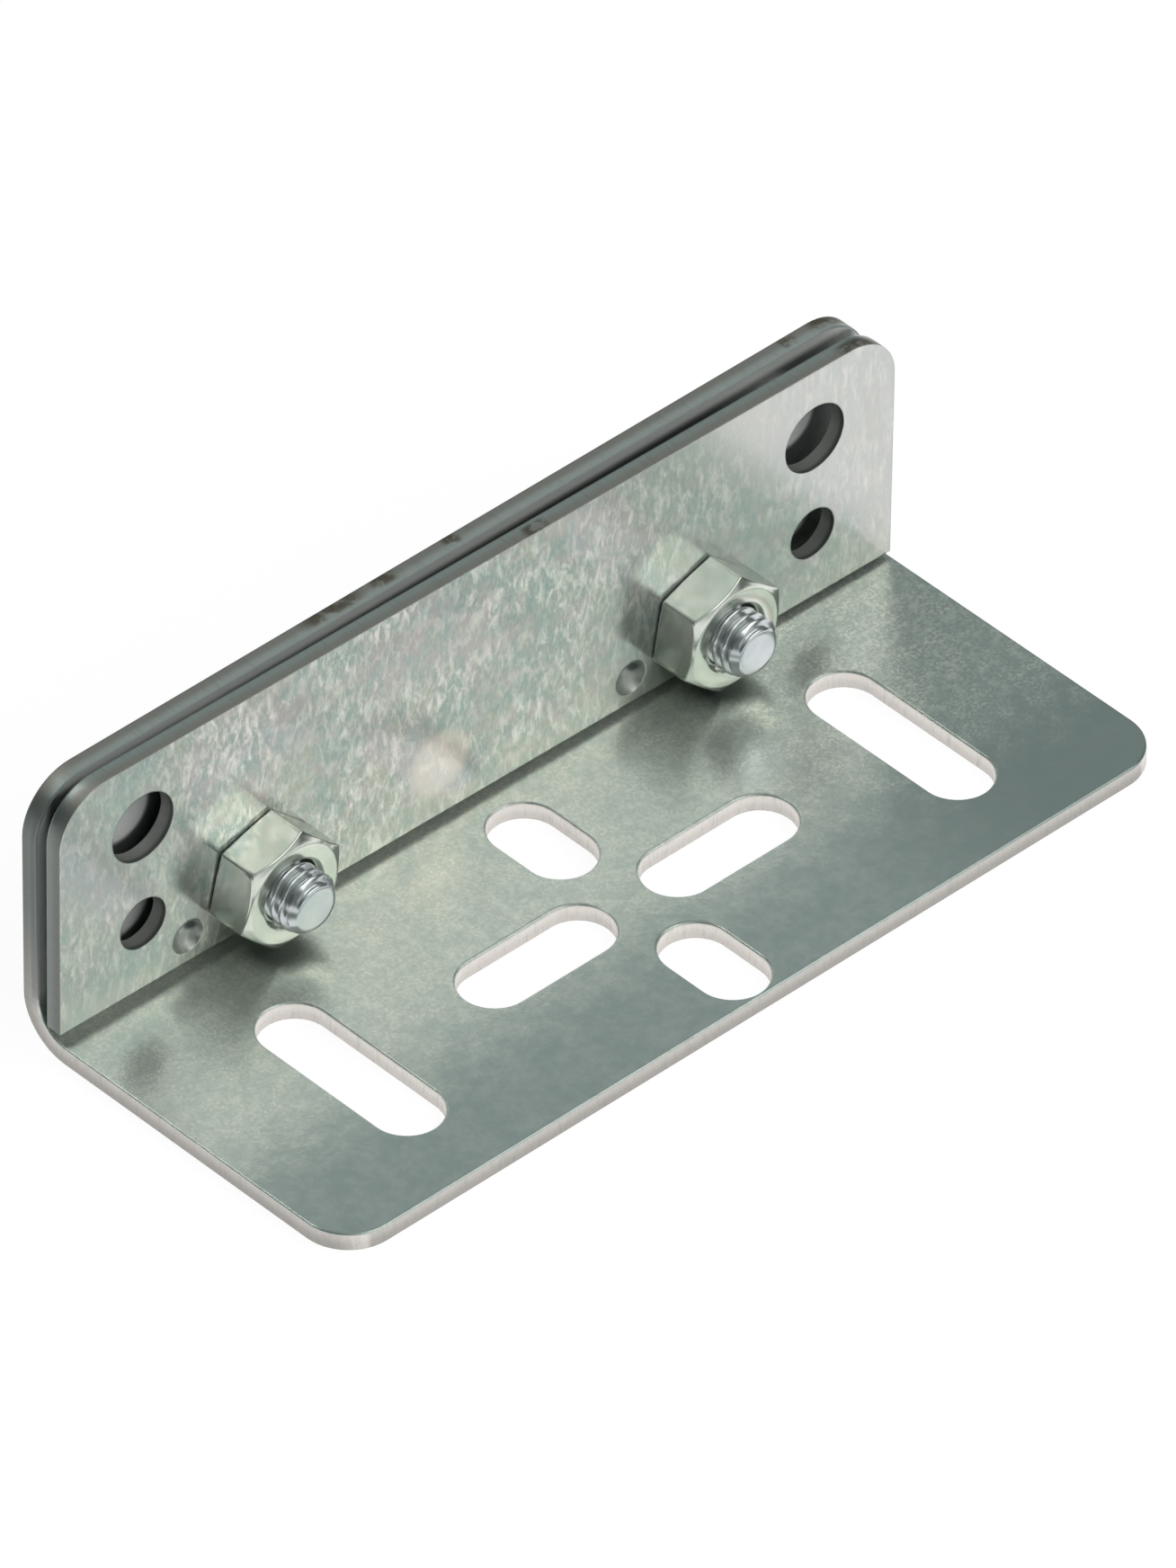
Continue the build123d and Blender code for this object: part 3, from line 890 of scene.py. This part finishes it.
# %% Make a screw and make a nut
def threaded_screw(side, length):
    screw = run_tree("threaded_screw_" + side, rolled_thread, {
        "Crest Radius": crest_radius * mm, "Length": length + shank_in_head * mm,
        "Tip Chamfer": tip_chamfer * mm, "Finish": screw_zinc})
    head = run_tree("head", turned_hexagon, {"Across Flats": across_flats * mm, "Finish": screw_zinc},
                    lathe_profile("head_profile", head_points))
    outward_and_closed(head.data)
    head.data.transform(Matrix.Translation((0, length, 0)))
    soften_edges(head, head_edge)
    join_head(screw, head)
    screw.data.shade_smooth()
    screw.data.set_sharp_from_angle(angle=thread_sharp_from)
    return screw


def hexagon_nut(side, turn):
    values = {"Across Flats": across_flats * mm, "Turn": math.radians(turn), "Finish": nut_zinc}
    nut = run_tree("hexagon_nut_" + side, turned_hexagon, values,
                   lathe_profile("nut_profile_" + side, nut_points))
    outward_and_closed(nut.data)
    soften_edges(nut, nut_edge)
    return nut


# %% [markdown]
# ### Both screws and both nuts
# The frame says where each screw's axis, tip and head are, and where each nut starts. The nuts are turned
# as the photograph shows them, each by its own angle.

# %% Place the screws and nuts
nut_turns = {"left": 16.7, "right": 19.7}
for side, turn in nut_turns.items():
    low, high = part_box("bolt_" + side)
    axis_x, axis_z = (low[0] + high[0]) / 2, (low[2] + high[2]) / 2
    tip_y, head_y = low[1], high[1]
    screw = threaded_screw(side, head_y - tip_y - head_height * mm)
    screw.data.transform(Matrix.Translation((axis_x, tip_y, axis_z)))
    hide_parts("bolt_" + side)
    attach(screw, "root")

    low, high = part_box("nut_" + side)
    nut = hexagon_nut(side, turn)
    nut.data.transform(Matrix.Translation((axis_x, low[1], axis_z)))
    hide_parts("nut_" + side)
    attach(nut, "root")
    print(side, "screw", len(screw.data.polygons), "faces; nut", len(nut.data.polygons), "faces; nut box",
          [round(v / mm, 3) for v in (*low, *high)])

# %% [markdown]
# ## White floor
# The photograph is a white cut-out, so the floor is white paper: a little diffuse white that keeps the
# object's soft shadow, and a plain glow for camera and mirror rays. To all other rays the paper is an
# ordinary diffuse white, so it lights the bracket from below only as real paper would.

# %% White floor
reach, level = 3.0, -0.02 * mm
paper_grey, shadow_grey, paper_glow = 0.85, 0.22, 0.91
floor_mesh = bpy.data.meshes.new("paper_floor")
floor_mesh.from_pydata([(-reach, -reach, level), (reach, -reach, level), (reach, reach, level),
                        (-reach, reach, level)], [], [(0, 1, 2, 3)])
paper_floor = bpy.data.objects.new("paper_floor", floor_mesh)
bpy.context.collection.objects.link(paper_floor)
paper = bpy.data.materials.new("white_paper")
paper.use_nodes = True
tree = paper.node_tree
tree.nodes.clear()
ray = add_node(tree, "ShaderNodeLightPath").outputs
seen = result(tree, "MAXIMUM", ray["Is Camera Ray"],
              result(tree, "MAXIMUM", ray["Is Glossy Ray"], ray["Is Transmission Ray"]))
lit = add_node(tree, "ShaderNodeBsdfDiffuse", {"Color": (paper_grey, paper_grey, paper_grey, 1)})
shadow_keeper = add_node(tree, "ShaderNodeBsdfDiffuse", {"Color": (shadow_grey, shadow_grey, shadow_grey, 1)})
glow = add_node(tree, "ShaderNodeEmission", {"Color": (1, 1, 1, 1), "Strength": paper_glow})
white = add_node(tree, "ShaderNodeAddShader", {0: shadow_keeper.outputs[0], 1: glow.outputs[0]})
mix = add_node(tree, "ShaderNodeMixShader", {0: seen, 1: lit.outputs[0], 2: white.outputs[0]})
add_node(tree, "ShaderNodeOutputMaterial", {"Surface": mix.outputs[0]})
floor_mesh.materials.append(paper)
print("floor reaches", reach, "m each way")

# %% [markdown]
# ## Light
# The light is a small studio in a dark room. Metal shows what stands around it, so each panel stands where
# one family of faces looks for it. The key, in front on the right, lights everything and shows in the
# foot's image in the plate. Two weaker panels, on the left and low in front, lift the plate. A card high at
# the back right is what the flat foot mirrors to the camera, a small bright one stands at the back left,
# and a weak one hangs overhead. The room is nearly black, but the camera sees it white.
#
# The strengths began as a fit: the bracket was rendered once per panel, and the sum of those pictures that
# came nearest to the photograph was looked for. Only the key kept its fitted strength. The foot's card and
# the top card were then lowered a little, and the left fill, the front card and the panel at the back left
# were moved or raised much more, against zoomed crops. So the set is no longer the fitted one.

# %% Room
room_tone = (0.045, 0.060, 0.058)
world = bpy.data.worlds.new("dark_room")
bpy.context.scene.world = world
world.use_nodes = True
tree = world.node_tree
tree.nodes.clear()
seen = add_node(tree, "ShaderNodeLightPath").outputs["Is Camera Ray"]
room = blend(tree, seen, room_tone, (1.0, 1.0, 1.0))
background = add_node(tree, "ShaderNodeBackground", {"Color": room, "Strength": 1.0})
add_node(tree, "ShaderNodeOutputWorld", {"Surface": background.outputs[0]})
print("room:", world.name)


# %% Lamps
def soft_panel(name, turn, lift, size, glow, colour=(1, 1, 1)):
    lamp = bpy.data.lights.new(name, "AREA")
    lamp.shape, lamp.size, lamp.size_y = "RECTANGLE", size[0], size[1]
    lamp.energy, lamp.color = glow * math.pi * size[0] * size[1], colour
    holder = bpy.data.objects.new(name, lamp)
    bpy.context.collection.objects.link(holder)
    turn, lift = math.radians(turn), math.radians(lift)
    away = Vector((math.cos(lift) * math.sin(turn), math.cos(lift) * math.cos(turn), math.sin(lift)))
    holder.location = away
    holder.rotation_euler = away.to_track_quat("Z", "Y").to_euler()
    holder.visible_camera = False
    print(name, "stands at", [round(v, 2) for v in holder.location], "with", round(lamp.energy, 2), "W")


soft_panel("key_softbox", 150, 45, (1.00, 0.70), 1.50, (1.0, 1.0, 0.97))
soft_panel("left_fill", -162, 53, (0.60, 0.60), 0.52)
soft_panel("front_card", 174, 10, (1.20, 0.35), 0.50)
soft_panel("high_back_panel", -21, 57, (0.46, 0.30), 2.30, (1.0, 1.0, 0.94))
soft_panel("foot_mirror_card", 43, 44, (0.70, 0.45), 0.29, (0.88, 1.0, 1.0))
soft_panel("top_card", 0, 85, (0.60, 0.60), 0.35)

# %% [markdown]
# ## Camera
# The camera was fitted to the bracket's corners in the photograph: it looks down at 40 degrees from the
# left front, from 1.3 metres away, through a long lens. It is tilted by half a degree, so its own right and
# up are worked out from the direction it looks in and that tilt.

# %% Camera
azimuth, elevation, roll = (math.radians(v) for v in (43.583, 40.300, 0.572))
camera_place = Vector((-0.67546, -0.70629, 0.83870))
focal_length, sensor_width = 686.07, 36.0
look = Vector((math.sin(azimuth) * math.cos(elevation), math.cos(azimuth) * math.cos(elevation),
               -math.sin(elevation)))
right = look.cross(Vector((0, 0, 1))).normalized()
upward = right.cross(look)
tilted_right = right * math.cos(roll) + upward * math.sin(roll)
tilted_up = upward * math.cos(roll) - right * math.sin(roll)
lens = bpy.data.cameras.new("photograph_lens")
lens.sensor_fit, lens.sensor_width, lens.lens = "HORIZONTAL", sensor_width, focal_length
lens.clip_start, lens.clip_end = 0.01, 20.0
viewpoint = bpy.data.objects.new("photograph_camera", lens)
bpy.context.collection.objects.link(viewpoint)
turned = Matrix((tilted_right, tilted_up, -look)).transposed().to_4x4()
turned.translation = camera_place
viewpoint.matrix_world = turned
bpy.context.scene.camera = viewpoint
bpy.context.scene.view_settings.view_transform = "Standard"
print("camera", round(camera_place.length, 3), "m from the foot's middle")
